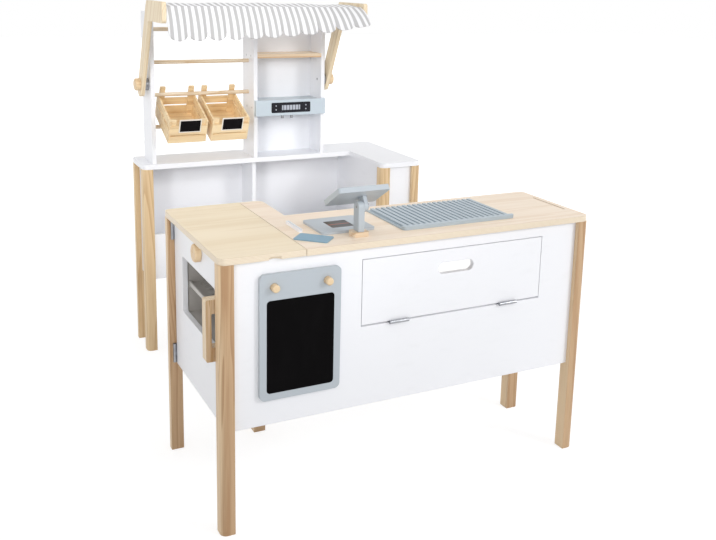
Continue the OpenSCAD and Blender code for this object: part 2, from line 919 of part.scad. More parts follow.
module scanner_plate() {
    radii = [plate_r, plate_r, plate_r, plate_r];
    color(GREY) on_counter() difference() {
        translate([scanner_x, scanner_y, counter_h]) plate([scanner_w, scanner_d, scanner_t], radii);
        scan_pane(scanner_t);
    }
}

// The scanner's glass, let into the plate
module scan_pane(depth) {
    pane_x = scanner_x + (scanner_w - scan_side) / 2;
    pane_y = scanner_y + (scanner_d - scan_side) / 2;
    translate([pane_x, pane_y, counter_h + scanner_t - pane_in]) {
        plate([scan_side, scan_side, depth], [pane_r, pane_r, pane_r, pane_r]);
    }
}

module scanner_window() {
    color(BLACK) on_counter() scan_pane(pane_t);
}

module monitor_foot() {
    color(BEECH) on_counter() translate([monitor_x - foot_w / 2, monitor_y - foot_d / 2, counter_h]) {
        plate([foot_w, foot_d, foot_t], [foot_r, foot_r, foot_r, foot_r]);
    }
}

// A rounded post with the hole for the tilt bolt
module monitor_post() {
    color(GREY) on_counter() translate([monitor_x - post_t / 2, monitor_y, counter_h]) difference() {
        along_x(post_t) {
            translate([-post_d / 2, foot_t]) square([post_d, monitor_bolt_z - foot_t]);
            translate([0, monitor_bolt_z]) circle(d = post_d);
        }
        translate([0, 0, monitor_bolt_z]) bar_x(monitor_bolt_d, -cut, post_t + cut);
    }
}

// Places the sloping monitor on its bolt's axis
module on_monitor() {
    on_counter() translate([monitor_x, monitor_y, counter_h + monitor_bolt_z]) {
        rotate([-monitor_tilt, 0, 0]) children();
    }
}

// A tablet with a cheek below it that turns on the bolt beside the post
module monitor_plate() {
    cheek_x = post_t / 2 + rest_gap;
    color(GREY) on_monitor() {
        difference() {
            translate([-monitor_w / 2, -monitor_d / 2, monitor_bolt_up - monitor_t]) {
                plate([monitor_w, monitor_d, monitor_t], [foot_r, foot_r, foot_r, foot_r]);
            }
            monitor_glass(screen_in + cut);
        }
        difference() {
            translate([cheek_x, 0, 0]) along_x(cheek_t) {
                circle(d = post_d);
                translate([-post_d / 2, 0]) square([post_d, monitor_bolt_up - monitor_t + eps]);
            }
            bar_x(monitor_bolt_d + 2 * run_gap, 0, cheek_x + cheek_t + cut);
        }
    }
}

// The screen in the monitor's upper face
module monitor_glass(depth) {
    size = [monitor_w - 2 * screen_rim, monitor_d - 2 * screen_rim, depth];
    translate([screen_rim - monitor_w / 2, screen_rim - monitor_d / 2, monitor_bolt_up - screen_in]) {
        plate(size, [screen_r, screen_r, screen_r, screen_r]);
    }
}

module monitor_screen() {
    color(BLACK) on_monitor() monitor_glass(screen_t);
}

module monitor_bolt() {
    head_x = post_t / 2 + rest_gap + cheek_t + rest_gap;
    color(STEEL) on_counter() translate([monitor_x, monitor_y, counter_h + monitor_bolt_z]) {
        bar_x(monitor_bolt_d, -post_t / 2, head_x + eps);
        bar_x(monitor_bolt_d * 2, head_x, head_x + bolt_head_t);
    }
}

module bank_card() {
    color(BLUE) on_counter() translate([card_x, card_y, counter_h + rest_gap]) rotate(card_turn) {
        translate([-card_l / 2, -card_w / 2, 0]) {
            plate([card_l, card_w, card_t], [card_r, card_r, card_r, card_r]);
        }
    }
}

// A strip with a narrow slot to pull the card through
module card_slot() {
    color(WHITE) on_counter() translate([swipe_x - swipe_w / 2, swipe_y, counter_h]) difference() {
        plate([swipe_w, swipe_l, swipe_h], [swipe_r, swipe_r, swipe_r, swipe_r]);
        translate([(swipe_w - slit_w) / 2, -cut, slit_z]) cube([slit_w, swipe_l + 2 * cut, swipe_h]);
    }
}

module stall_legs() {
    color(PINE) on_stall() {
        leg(0, 0, 0, stall_leg_h);
        leg(ext_x, -ext_d, 0, stall_leg_h);
        leg(stall_w - leg_s, -ext_d, 90, stall_leg_h);
        leg(stall_w - leg_s, stall_d - leg_s, 180, stall_leg_h);
        leg(0, stall_d - leg_s, 270, stall_leg_h);
    }
}

module stall_top() {
    color(WHITE) on_stall() translate([0, 0, stall_leg_h]) linear_extrude(stall_top_t) {
        plate_2d([stall_w, stall_d], [top_r, 0, top_r, top_r]);
        translate([ext_x, -ext_d]) plate_2d([ext_w, ext_d + cut], [top_r, top_r, 0, 0]);
    }
}

module stall_back_panel() {
    color(WHITE) on_stall() {
        box([leg_s, stall_back_y, panel_z], [stall_w - leg_s, stall_back_y + board_t, stall_leg_h]);
    }
}

module stall_side_panels() {
    color(WHITE) on_stall() {
        box([side_inset, leg_s, panel_z], [side_inset + board_t, stall_d - leg_s, stall_leg_h]);
        box([stall_w - side_inset - board_t, leg_s - ext_d, panel_z],
            [stall_w - side_inset, stall_d - leg_s, stall_leg_h]);
    }
}

// Front and left side of the extension
module extension_panels() {
    color(WHITE) on_stall() {
        box([ext_x + leg_s, front_inset - ext_d, panel_z],
            [stall_w - leg_s, front_inset - ext_d + board_t, stall_leg_h]);
        box([ext_wall_x, leg_s - ext_d, panel_z], [ext_wall_x + board_t, stall_back_y, stall_leg_h]);
    }
}

module bin_front() {
    color(WHITE) on_stall() {
        box([leg_s, front_inset, panel_z], [ext_wall_x, front_inset + board_t, panel_z + bin_h]);
    }
}

module bin_divider() {
    color(WHITE) on_stall() {
        box([bin_x, front_inset + board_t, panel_z + board_t], [bin_x + board_t, stall_back_y, stall_leg_h]);
    }
}

module bin_floor() {
    color(WHITE) on_stall() {
        box([leg_s, front_inset + board_t, panel_z], [ext_wall_x, stall_back_y, panel_z + board_t]);
    }
}

// An upright board on the stall's top
module upright(x) {
    box([x, upright_inset, stall_h], [x + board_t, upright_y1, stall_h + upright_h]);
}

// Holes for the rods from x0 to x1
module rod_holes(x0, x1) {
    for (i = [0 : rod_n - 1]) {
        translate([0, rod_y, stall_h + rod_z + i * rod_pitch]) bar_x(rod_d, x0, x1);
    }
}

// Hole for a pivot bolt from x0 to x1
module bolt_hole(x0, x1, d) {
    translate([0, pivot_y, pivot_h]) bar_x(d, x0, x1);
}

module left_upright() {
    color(WHITE) on_stall() difference() {
        upright(bay_x);
        rod_holes(bay_x + board_t - rod_in, bay_x + board_t + cut);
        bolt_hole(bay_x - cut, bay_x + board_t + cut, bolt_d);
    }
}

module middle_upright() {
    color(WHITE) on_stall() difference() {
        upright(middle_x);
        rod_holes(middle_x - cut, middle_x + rod_in);
    }
}

module right_upright() {
    color(WHITE) on_stall() difference() {
        upright(right_x);
        bolt_hole(right_x - cut, right_x + board_t + cut, bolt_d);
    }
}

module niche_back() {
    color(WHITE) on_stall() {
        box([middle_x + board_t, upright_y1 - board_t, stall_h], [right_x, upright_y1, stall_h + upright_h]);
    }
}

module niche_shelf() {
    color(PINE) on_stall() {
        box([middle_x + board_t, upright_inset, stall_h + shelf_z],
            [right_x, upright_y1 - board_t, stall_h + shelf_z + board_t]);
    }
}

// A closed box across the niche, with a wider front that laps the uprights
module dispenser() {
    color(GREY) on_stall() difference() {
        union() {
            box([middle_x + board_t, upright_inset - eps, stall_h + dispenser_z + dispenser_step],
                [right_x, upright_y1 - board_t, stall_h + dispenser_z + dispenser_h - dispenser_step]);
            box([middle_x + board_t - dispenser_lap, dispenser_y, stall_h + dispenser_z],
                [right_x + dispenser_lap, upright_inset, stall_h + dispenser_z + dispenser_h]);
        }
        display(display_t + display_in);
    }
}

// The display in the dispenser's front
module display(depth) {
    radii = [display_r, display_r, display_r, display_r];
    translate([(middle_x + board_t + right_x - display_w) / 2, dispenser_y + display_in - depth, 0]) {
        translate([0, 0, stall_h + dispenser_z + (dispenser_h - display_h) / 2]) {
            along_y(depth) plate_2d([display_w, display_h], radii);
        }
    }
}

module dispenser_display() {
    color(BLACK) on_stall() display(display_t);
}

module dispenser_spouts() {
    spout_z = stall_h + dispenser_z + dispenser_step - spout_l;
    color(STEEL) on_stall() {
        for (side = [-1, 1]) {
            spout_x = (middle_x + board_t + right_x + side * spout_span) / 2;
            translate([spout_x, upright_inset + spout_in, spout_z]) {
                cylinder(d = spout_d, h = spout_l);
            }
        }
    }
}

module stall_rods() {
    color(PINE) on_stall() rod_holes(bay_x + board_t - rod_in, middle_x + rod_in);
}

// Places a crate on its rods
module on_hook(side) {
    on_stall() translate([crates_x + side * crate_span / 2, rod_y, stall_h + rod_z + rod_pitch]) {
        rotate([crate_tilt, 0, 0]) translate([0, hang_in, -hang_up]) children();
    }
}

// A slatted crate, its back lower edge at the origin and its front towards -Y
module crate() {
    half = crate_w / 2;
    post_in = half - slat_t - crate_post_w;
    post_h = hang_up + rod_r + crate_post_rise;
    color(CRATE) {
        box([-half, -crate_d, 0], [half, 0, slat_t]);
        for (side = [-1, 1]) {
            x = side > 0 ? half - slat_t : -half;
            post_x = side > 0 ? post_in : -half + slat_t;
            box([x, -crate_d, 0], [x + slat_t, 0, crate_low_h]);
            box([x, -crate_d, crate_low_h + slat_gap], [x + slat_t, 0, crate_side_h]);
            box([post_x, -slat_t - crate_post_t, 0], [post_x + crate_post_w, -slat_t, post_h]);
            translate([post_x, slat_t - crate_d, 0]) cube([crate_post_w, crate_post_t, crate_side_h]);
        }
        box([-half, -slat_t, 0], [half, 0, crate_back_low_h]);
        box([-half, -slat_t, crate_back_low_h + slat_gap], [half, 0, crate_back_h]);
        box([-half, -crate_d, 0], [half, slat_t - crate_d, crate_front_low_h]);
        box([-half, -crate_d, crate_front_low_h + slat_gap], [half, slat_t - crate_d, crate_front_h]);
    }
}

// A label board that stands against the crate's front
module crate_label() {
    label_z = crate_front_h + label_rise - label_h;
    color(BLACK) translate([label_shift - label_w / 2, -crate_d - label_t, label_z]) {
        cube([label_w, label_t, label_h]);
    }
}

module crate_left() {
    on_hook(-1) crate();
}

module crate_right() {
    on_hook(1) crate();
}

module crate_left_label() {
    on_hook(-1) crate_label();
}

module crate_right_label() {
    on_hook(1) crate_label();
}

// Outline of a canopy arm in Y and Z: a leaning stem with a round foot, and a long head
module arm_2d() {
    translate([pivot_y, pivot_h]) rotate(arm_lean) {
        translate([-arm_w / 2, arm_w / 2 - arm_foot]) square([arm_w, stem_l + arm_foot - arm_w / 2]);
        translate([0, arm_w / 2 - arm_foot]) circle(d = arm_w);
    }
    translate([head_front_y, head_top - head_h]) plate_2d([head_l, head_h], [head_r, 0, head_r, head_r]);
}

module canopy_arms() {
    color(PINE) on_stall() for (x = [arm_left_x, arm_right_x]) {
        difference() {
            translate([x, 0, 0]) along_x(arm_t) arm_2d();
            bolt_hole(x - cut, x + arm_t + cut, bolt_d + 2 * run_gap);
            canopy_rod_bars();
        }
    }
}

module canopy_rod_bars() {
    for (y = [canopy_rod_front, canopy_rod_rear]) {
        translate([0, y, canopy_rod_z]) bar_x(canopy_rod_d, arm_left_x + arm_t / 2, arm_right_x + arm_t / 2);
    }
}

module canopy_rods() {
    color(PINE) on_stall() canopy_rod_bars();
}

// Each row of the run: a centre in Y and Z, an angle round it, and a drop below it
run = concat(
    [[canopy_rod_rear, canopy_rod_z, 0, cloth_tail]],
    [for (a = [0, wrap_step]) [canopy_rod_rear, canopy_rod_z, a, 0]],
    [for (k = [0 : span_n]) [canopy_rod_rear - span_y * k / span_n, canopy_rod_z, 90, sag(k / span_n)]]
);
run_n = len(run);

// How far the cloth hangs between the rods, at a share of the way across
function sag(share) = cloth_sag * (1 - pow(2 * share - 1, 2));

// Depth of the wave across the valance, in step with the scallops
function wave(u) = -wave_h * cos(360 * u * scallop_n);
// Length of the valance at a place across it, longest in the middle of each scallop
function drop(u) = valance_l - scallop_h * (1 - sin(180 * (u * scallop_n - floor(u * scallop_n))));

// A point on the cloth at row i, at a share u of its width and at a height above its lower face
function run_point(i, lift) =
    let (p = run[i])
    [p[0] + (cloth_r + lift) * cos(p[2]), p[1] + (cloth_r + lift) * sin(p[2]) - p[3]];
// The valance leaves the front rod where the rod's face has turned to the valance's own angle
function hang_point(k, u, lift) =
    let (lean = valance_lean + valance_twist * pow(u, 2))
    let (turn = k == 0 ? 90 + (90 - lean) / 2 : 180 - lean)
    let (share = max(k - 1, 0) / valance_rows)
    let (out = cloth_r + lift + share * wave(u))
    [canopy_rod_front + out * cos(turn) - share * drop(u) * sin(lean),
     canopy_rod_z + out * sin(turn) - share * drop(u) * cos(lean)];
function cloth_point(i, j, lift) =
    let (u = j / cloth_columns)
    let (x = cloth_x0 + (cloth_x1 - cloth_x0) * u)
    let (p = i < run_n ? run_point(i, lift) : hang_point(i - run_n, u, lift))
    [x, p[0], p[1]];

// One closed sheet: an outer face, an inner face and the rim between them
module canopy_cloth() {
    rows = run_n + valance_rows + 2;
    columns = cloth_columns + 1;
    sheet = rows * columns;
    points = [for (lift = [cloth_t, 0]) for (i = [0 : rows - 1]) for (j = [0 : columns - 1])
        cloth_point(i, j, lift)];
    function at(i, j) = i * columns + j;
    outer = [for (i = [0 : rows - 2]) for (j = [0 : columns - 2]) for (t = [0, 1])
        t == 0 ? [at(i, j), at(i, j + 1), at(i + 1, j + 1)] : [at(i, j), at(i + 1, j + 1), at(i + 1, j)]];
    inner = [for (f = outer) [f[0] + sheet, f[2] + sheet, f[1] + sheet]];
    rim = concat(
        [for (j = [0 : columns - 1]) at(0, j)],
        [for (i = [1 : rows - 1]) at(i, columns - 1)],
        [for (j = [1 : columns - 1]) at(rows - 1, columns - 1 - j)],
        [for (i = [1 : rows - 2]) at(rows - 1 - i, 0)]
    );
    n = len(rim);
    edge = [for (k = [0 : n - 1]) for (t = [0, 1])
        let (a = rim[k], b = rim[(k + 1) % n])
        t == 0 ? [b, a, a + sheet] : [b, a + sheet, b + sheet]];
    color(WHITE) on_stall() polyhedron(points, concat(outer, inner, edge));
}

// Spacers on the uprights, with the bolts that the arms turn on
module canopy_pivots() {
    bolt_in = grip_l - bolt_end;
    color(STEEL) on_stall() {
        bolt_hole(arm_left_x - rest_gap - bolt_in, bay_x + board_t, bolt_d);
        bolt_hole(arm_left_x + arm_t + rest_gap, bay_x, spacer_d);
        bolt_hole(right_x, arm_right_x + arm_t + rest_gap + bolt_in, bolt_d);
        bolt_hole(right_x + board_t, arm_right_x - rest_gap, spacer_d);
    }
}

// A clamping knob on a bolt's end
module canopy_knob() {
    difference() {
        turned_knob(grip_d, grip_l, grip_l / 3);
        bar_x(bolt_d + 2 * run_gap, bore_end - grip_l, cut);
    }
}

module canopy_knob_left() {
    color(PINE) on_stall() translate([arm_left_x - rest_gap, pivot_y, pivot_h]) canopy_knob();
}

module canopy_knob_right() {
    color(PINE) on_stall() translate([arm_right_x + arm_t + rest_gap, pivot_y, pivot_h]) {
        mirror([1, 0, 0]) canopy_knob();
    }
}

counter_legs();
front_panel();
right_panel();
block_panels();
block_divider();
counter_floors();
main_top();
lid();
lid_hinge_leaves();
flap_door();
flap_hinge_leaves();
oven_door();
oven_handle();
oven_hinge_leaves();
hinge_barrels();
oven_knob();
oven_liner();
oven_rack();
chalkboard_frame();
chalkboard();
chalkboard_pegs();
conveyor_tray();
conveyor_ridges();
scanner_plate();
scanner_window();
monitor_foot();
monitor_post();
monitor_plate();
monitor_screen();
monitor_bolt();
bank_card();
card_slot();
stall_legs();
stall_top();
stall_back_panel();
stall_side_panels();
extension_panels();
bin_front();
bin_divider();
bin_floor();
left_upright();
middle_upright();
right_upright();
niche_back();
niche_shelf();
dispenser();
dispenser_display();
dispenser_spouts();
stall_rods();
crate_left();
crate_right();
crate_left_label();
crate_right_label();
canopy_arms();
canopy_rods();
canopy_cloth();
canopy_pivots();
canopy_knob_left();
canopy_knob_right();
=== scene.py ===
"""Dresses the toy market stall: camera, light, finishes, and the pieces that are finer than its solids."""
import math

import bmesh
import bpy
import numpy as np
from mathutils import Matrix, Vector


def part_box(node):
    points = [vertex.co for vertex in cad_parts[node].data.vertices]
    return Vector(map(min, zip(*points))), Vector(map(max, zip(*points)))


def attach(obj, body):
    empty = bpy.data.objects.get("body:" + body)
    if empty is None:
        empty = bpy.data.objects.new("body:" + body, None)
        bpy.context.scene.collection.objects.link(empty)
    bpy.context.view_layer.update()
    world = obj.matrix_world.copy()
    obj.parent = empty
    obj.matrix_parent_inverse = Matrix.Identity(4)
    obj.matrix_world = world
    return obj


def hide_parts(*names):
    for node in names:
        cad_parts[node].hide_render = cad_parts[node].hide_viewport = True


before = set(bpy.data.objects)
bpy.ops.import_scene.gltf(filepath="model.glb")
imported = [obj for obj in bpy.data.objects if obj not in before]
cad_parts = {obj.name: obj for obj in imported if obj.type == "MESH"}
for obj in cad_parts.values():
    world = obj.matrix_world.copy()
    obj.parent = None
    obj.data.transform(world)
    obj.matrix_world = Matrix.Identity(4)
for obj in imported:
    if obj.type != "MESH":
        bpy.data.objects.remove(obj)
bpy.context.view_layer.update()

MM = 0.001
FULL_TURN = 2.0 * math.pi

# Camera, fitted to the edges of the photograph: metres, degrees, and the photograph's pixels
PHOTO_WIDTH = 716
CAMERA_PLACE = (-0.9575, -2.1698, 1.1334)
CAMERA_YAW = 26.66
CAMERA_PITCH = 11.89
CAMERA_ROLL = 1.29
CAMERA_FOCAL = 898.75
CAMERA_DROP = 100
SENSOR_WIDTH = 36.0

# Surround and floor. What the camera sees of the floor is its catch of light plus a glow, and the glow grows to full
# white between two distances from the middle, so that the shadow stays near the feet.
SKY_STRENGTH = 0.66
FLOOR_SIZE = 30.0
FLOOR_TONE = 0.9
FLOOR_CATCH = 0.42
FLOOR_GLOW = 0.72
FLOOR_FADE = (1.3, 3.0)

# Lamps: places and sizes in metres, angles in degrees, power in watts
COUNTER_MIDDLE = (0.0, -0.3, 0.45)
AREA_LAMPS = {
    "key": {"place": (1.9, -2.7, 1.9), "size": 0.9, "power": 33},
    "left": {"place": (-4.2, -0.4, 2.0), "size": 2.6, "power": 5},
    "top": {"place": (0.0, -0.4, 4.4), "size": 3.0, "power": 20},
}
SPOT_LAMPS = {
    "stall_spot": {"place": (-2.3, -2.6, 1.5), "aim": (0.05, 0.5, 0.78), "angle": 19, "power": 225},
    "bin_spot": {"place": (-0.6, -2.4, 2.2), "aim": (-0.05, 0.5, 0.43), "angle": 13, "power": 175},
}
SPOT_BLEND = 0.7
SPOT_SOFTNESS = 0.5

# Finishes: the radius of a board's softened edge, how wood is drawn out along its grain, and the turn of that grain
BOARD_EDGE = 1.2 * MM
RING_STRETCH = (1, 1, 0.055)
FIBRE_STRETCH = (1, 1, 0.02)
CLOUD_STRETCH = (1, 1, 0.2)
FIBRE_SCALE = 520.0
GRAIN_TURNS = {"z": (0, 0, 0), "x": (0, 90, 0), "lean": (-27, 0, 0)}
PLY_LAYER = 2.8 * MM
PLY_PALE = (236, 222, 200)
PLY_DARK = (206, 182, 150)
PEEL_SCALE = 650.0
GRIT_SCALE = 900.0
BRUSH_SCALE = 1400.0
THREAD_PITCH = 1.1 * MM

# Print on the dispenser's display and the size of the crates' labels, in millimetres from their middles
FIELD_HALF_WIDTH = 30
FIELD_HALF_HEIGHT = 7
BAR_PITCH = 10
DOT_ACROSS = 50
DOT_UP = 6
LABEL_HALF = (30.0, 18.5)
CRATE_TILT = 24

# Canopy cloth, in millimetres and degrees: the run that it follows over its two rods, and the points along it
ROD_RADIUS = 5.0
WRAP_RADIUS = 6.9
CLOTH_TAIL = 16.0
CLOTH_RISE = 7.0
RISE_ENDS = 0.55
RISE_MIDDLE = 0.45
RIPPLE = 1.2
RIPPLES = 9.0
VALANCE = 94.0
VALANCE_LEAN = 22.0
VALANCE_TWIST = 38.0
VALANCE_BELLY = 5.0
SCALLOPS = 11
SCALLOP_DEPTH = 26.0
WAVE = 3.0
STRIPES = 32
CLOTH_THICKNESS = 1.4
SCALLOP_POINTS = 16
TAIL_POINTS = 5
WRAP_POINTS = 9
SPAN_POINTS = 26
HANG_POINTS = 25

# Screw heads, in millimetres: radius and height along the head's outline, and their places across a held board
SCREW_HEAD = [(0.02, -0.2), (3.4, -0.2), (3.4, 0.35), (2.9, 0.7), (1.3, 0.8), (1.2, 0.2), (0.02, 0.15)]
SCREW_SIDES = 24
SCREW_DEPTHS = (0.3, 0.75)
POLE_WIDTH = 0.05


def tone(red, green, blue):
    """A colour given as 0 to 255 on a screen, as the linear values that sockets take."""
    share = np.array([red, green, blue]) / 255.0
    linear = np.where(share <= 0.04045, share / 12.92, ((share + 0.055) / 1.055) ** 2.4)
    return (*linear.tolist(), 1.0)


def middle_of(node):
    """The middle of a CAD node's box."""
    low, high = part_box(node)
    return [(a + b) / 2 for a, b in zip(low, high)]


class Net:
    """A node tree that is being wired: add() makes a node, and feed() links a socket or sets its value."""

    def __init__(self, tree):
        self.tree = tree

    def feed(self, socket, value):
        if isinstance(value, bpy.types.NodeSocket):
            self.tree.links.new(value, socket)
        else:
            socket.default_value = value

    def add(self, kind, inputs=None, **settings):
        made = self.tree.nodes.new("ShaderNode" + kind)
        for name, value in settings.items():
            setattr(made, name, value)
        for name, value in (inputs or {}).items():
            self.feed(made.inputs[name], value)
        return made

    def math(self, operation, *values, clamp=False):
        made = self.add("Math", dict(enumerate(values)), operation=operation, use_clamp=clamp)
        return made.outputs[0]

    def mix(self, share, first, second):
        made = self.add("Mix", {0: share, 6: first, 7: second}, data_type="RGBA")
        return made.outputs[2]

    def noise(self, vector, scale, detail=2.0, distortion=0.0):
        inputs = {"Vector": vector, "Scale": scale, "Detail": detail, "Distortion": distortion}
        return self.add("TexNoise", inputs).outputs["Fac"]

    def stretched(self, vector, scale, turn=(0, 0, 0)):
        radians = [math.radians(angle) for angle in turn]
        return self.add("Mapping", {"Vector": vector, "Scale": scale, "Rotation": radians}).outputs[0]

    def split(self, vector):
        return self.add("SeparateXYZ", {0: vector}).outputs

    def from_middle(self, place, middle):
        """A place measured from a fixed point."""
        return self.add("VectorMath", {0: place, 1: middle}, operation="SUBTRACT").outputs[0]

    def facing(self):
        """The true normal in the piece's own axes, which stays with the piece when it swings."""
        flat = self.add("NewGeometry").outputs["True Normal"]
        settings = {"vector_type": "NORMAL", "convert_from": "WORLD", "convert_to": "OBJECT"}
        return self.split(self.add("VectorTransform", {0: flat}, **settings).outputs[0])

    def ramp(self, value, low, high):
        """0 before low and 1 past high, smooth between them. It falls where low is the larger."""
        inputs = {"Value": value, "From Min": low, "From Max": high}
        return self.add("MapRange", inputs, interpolation_type="SMOOTHSTEP").outputs[0]


def effect(name, inputs, outputs):
    """A shader node group with named sockets. Returns its net, the sockets that it is given and those it fills."""
    tree = bpy.data.node_groups.new(name, "ShaderNodeTree")
    for label, kind in inputs:
        tree.interface.new_socket(label, in_out="INPUT", socket_type="NodeSocket" + kind)
    for label, kind in outputs:
        tree.interface.new_socket(label, in_out="OUTPUT", socket_type="NodeSocket" + kind)
    given = tree.nodes.new("NodeGroupInput").outputs
    result = tree.nodes.new("NodeGroupOutput").inputs
    return Net(tree), given, result


SURFACE = [("Color", "Color"), ("Height", "Float"), ("Rough", "Float")]


def soft_edge_effect():
    """A rounded normal near sharp edges, and a mask of those edges from how far that normal turns."""
    net, given, result = effect("soft_edge", [("Radius", "Float")], [("Normal", "Vector"), ("Edge", "Float")])
    bevel = net.add("Bevel", {"Radius": given["Radius"]}, samples=4).outputs[0]
    flat = net.add("NewGeometry").outputs["True Normal"]
    turn = net.add("VectorMath", {0: bevel, 1: flat}, operation="DOT_PRODUCT").outputs["Value"]
    net.feed(result["Normal"], bevel)
    net.feed(result["Edge"], net.ramp(turn, 0.995, 0.8))
    return net.tree


def wood_effect():
    """Year rings as the fraction of a stretched noise, with fibres and slow clouds over them. Grain runs along Z."""
    inputs = [("Vector", "Vector"), ("Pale", "Color"), ("Dark", "Color"), ("Figure", "Float"), ("Rings", "Float"),
              ("Contrast", "Float"), ("Front", "Float")]
    net, given, result = effect("wood_grain", inputs, SURFACE)
    along = net.stretched(given["Vector"], RING_STRETCH)
    figure = net.noise(along, given["Figure"], distortion=0.4)
    ring = net.math("FRACT", net.math("MULTIPLY", figure, given["Rings"]))
    late = net.math("MULTIPLY", net.math("POWER", ring, 2.2), net.ramp(ring, 1.0, 0.9))
    fibre = net.noise(net.stretched(given["Vector"], FIBRE_STRETCH), FIBRE_SCALE, detail=3.0)
    cloud = net.noise(net.stretched(given["Vector"], CLOUD_STRETCH), 9.0, detail=3.0)
    flecks = net.math("MULTIPLY_ADD", net.math("SUBTRACT", fibre, 0.5), 0.9, late)
    mask = net.math("MULTIPLY_ADD", net.math("SUBTRACT", cloud, 0.45), 0.9, flecks)
    mask = net.math("MULTIPLY", mask, given["Contrast"])
    # Painted shade: faces turned towards -Y are darkened towards the dark wood, as far as the front input asks.
    front = net.ramp(net.facing()[1], -0.5, -0.95)
    mask = net.math("MULTIPLY_ADD", front, given["Front"], mask, clamp=True)
    net.feed(result["Color"], net.mix(mask, given["Pale"], given["Dark"]))
    net.feed(result["Height"], net.math("MULTIPLY_ADD", fibre, 0.6, net.math("MULTIPLY", late, -0.3)))
    net.feed(result["Rough"], net.math("MULTIPLY_ADD", fibre, 0.22, 0.36))
    return net.tree


def paint_effect():
    """Sprayed paint on board: a slow drift of tone, faint rub marks and an orange-peel height."""
    inputs = [("Vector", "Vector"), ("Paint", "Color"), ("Worn", "Color"), ("Edge", "Float")]
    net, given, result = effect("painted_board", inputs, SURFACE)
    drift = net.noise(given["Vector"], 3.5, detail=3.0)
    marks = net.noise(net.stretched(given["Vector"], (1, 1, 3)), 24.0, detail=4.0, distortion=0.6)
    rubbed = net.ramp(marks, 0.52, 0.8)
    peel = net.noise(given["Vector"], PEEL_SCALE)
    worn = net.math("MULTIPLY_ADD", net.math("SUBTRACT", drift, 0.5), 0.5, net.math("MULTIPLY", rubbed, 0.18))
    worn = net.math("MULTIPLY_ADD", given["Edge"], 0.3, worn, clamp=True)
    net.feed(result["Color"], net.mix(worn, given["Paint"], given["Worn"]))
    net.feed(result["Height"], peel)
    net.feed(result["Rough"], net.math("MULTIPLY_ADD", rubbed, 0.16, 0.34))
    return net.tree


def ply_effect():
    """Pale layers along the upright edges of a board, as waves over its height, with a mask of those edges."""
    inputs = [("Vector", "Vector"), ("Layer", "Float")]
    net, given, result = effect("ply_edge", inputs, [("Edge", "Float"), ("Line", "Float")])
    upward = net.math("ABSOLUTE", net.facing()[2])
    height = net.split(given["Vector"])[2]
    wave = net.math("SINE", net.math("DIVIDE", net.math("MULTIPLY", height, FULL_TURN), given["Layer"]))
    rough = net.noise(net.stretched(given["Vector"], (1, 1, 6)), 9.0, detail=3.0)
    net.feed(result["Edge"], net.ramp(upward, 0.5, 0.2))
    net.feed(result["Line"], net.math("MULTIPLY", net.ramp(wave, 0.2, 0.9), rough))
    return net.tree


SOFT_EDGE = soft_edge_effect()
WOOD_GRAIN = wood_effect()
PAINTED_BOARD = paint_effect()
PLY_EDGE = ply_effect()


class Finish:
    """A material with its Principled shader, its Object coordinates and a softened edge, ready to be wired."""

    def __init__(self, name, edge=BOARD_EDGE, **constants):
        self.material = bpy.data.materials.new(name)
        self.material.use_nodes = True
        self.net = Net(self.material.node_tree)
        self.shader = self.net.tree.nodes["Principled BSDF"]
        for label, value in constants.items():
            self.shader.inputs[label.replace("_", " ")].default_value = value
        self.place = self.net.add("TexCoord").outputs["Object"]
        soft = self.effect(SOFT_EDGE, {"Radius": edge})
        self.normal = soft["Normal"]
        self.edge = soft["Edge"]

    def effect(self, tree, inputs):
        made = self.net.add("Group", node_tree=tree)
        for label, value in inputs.items():
            self.net.feed(made.inputs[label], value)
        return made.outputs

    def wire(self, color, rough, height, bump, depth=0.3 * MM):
        """Joins colour, roughness and bump to the shader and hands the material back."""
        inputs = {"Strength": bump, "Distance": depth, "Height": height, "Normal": self.normal}
        raised = self.net.add("Bump", inputs).outputs[0]
        self.net.feed(self.shader.inputs["Base Color"], color)
        self.net.feed(self.shader.inputs["Roughness"], rough)
        self.net.feed(self.shader.inputs["Normal"], raised)
        return self.material


def wood(name, pale, dark, grain, figure=15.0, rings=9.0, contrast=0.9, front=0.0, ply=False):
    """Lacquered wood with its grain along one axis, painted shade that darkens its front faces, and ply edges if
    asked for.
    """
    made = Finish(name, Coat_Weight=0.08, Coat_Roughness=0.35)
    net = made.net
    pale = tone(*pale)
    along = net.stretched(made.place, (1, 1, 1), GRAIN_TURNS[grain])
    inputs = {"Vector": along, "Pale": pale, "Dark": tone(*dark), "Figure": figure, "Rings": rings,
              "Contrast": contrast, "Front": front}
    grown = made.effect(WOOD_GRAIN, inputs)
    color = net.mix(net.math("MULTIPLY", made.edge, 0.25), grown["Color"], pale)
    if ply:
        layers = made.effect(PLY_EDGE, {"Vector": made.place, "Layer": PLY_LAYER})
        side = net.mix(layers["Line"], tone(*PLY_PALE), tone(*PLY_DARK))
        color = net.mix(layers["Edge"], color, side)
    return made.wire(color, grown["Rough"], grown["Height"], bump=0.25)


def paint(name, color, worn):
    """Satin paint on board, with another tone where it is rubbed and along its edges."""
    made = Finish(name)
    inputs = {"Vector": made.place, "Paint": tone(*color), "Worn": tone(*worn), "Edge": made.edge}
    coat = made.effect(PAINTED_BOARD, inputs)
    return made.wire(coat["Color"], coat["Rough"], coat["Height"], bump=0.08)


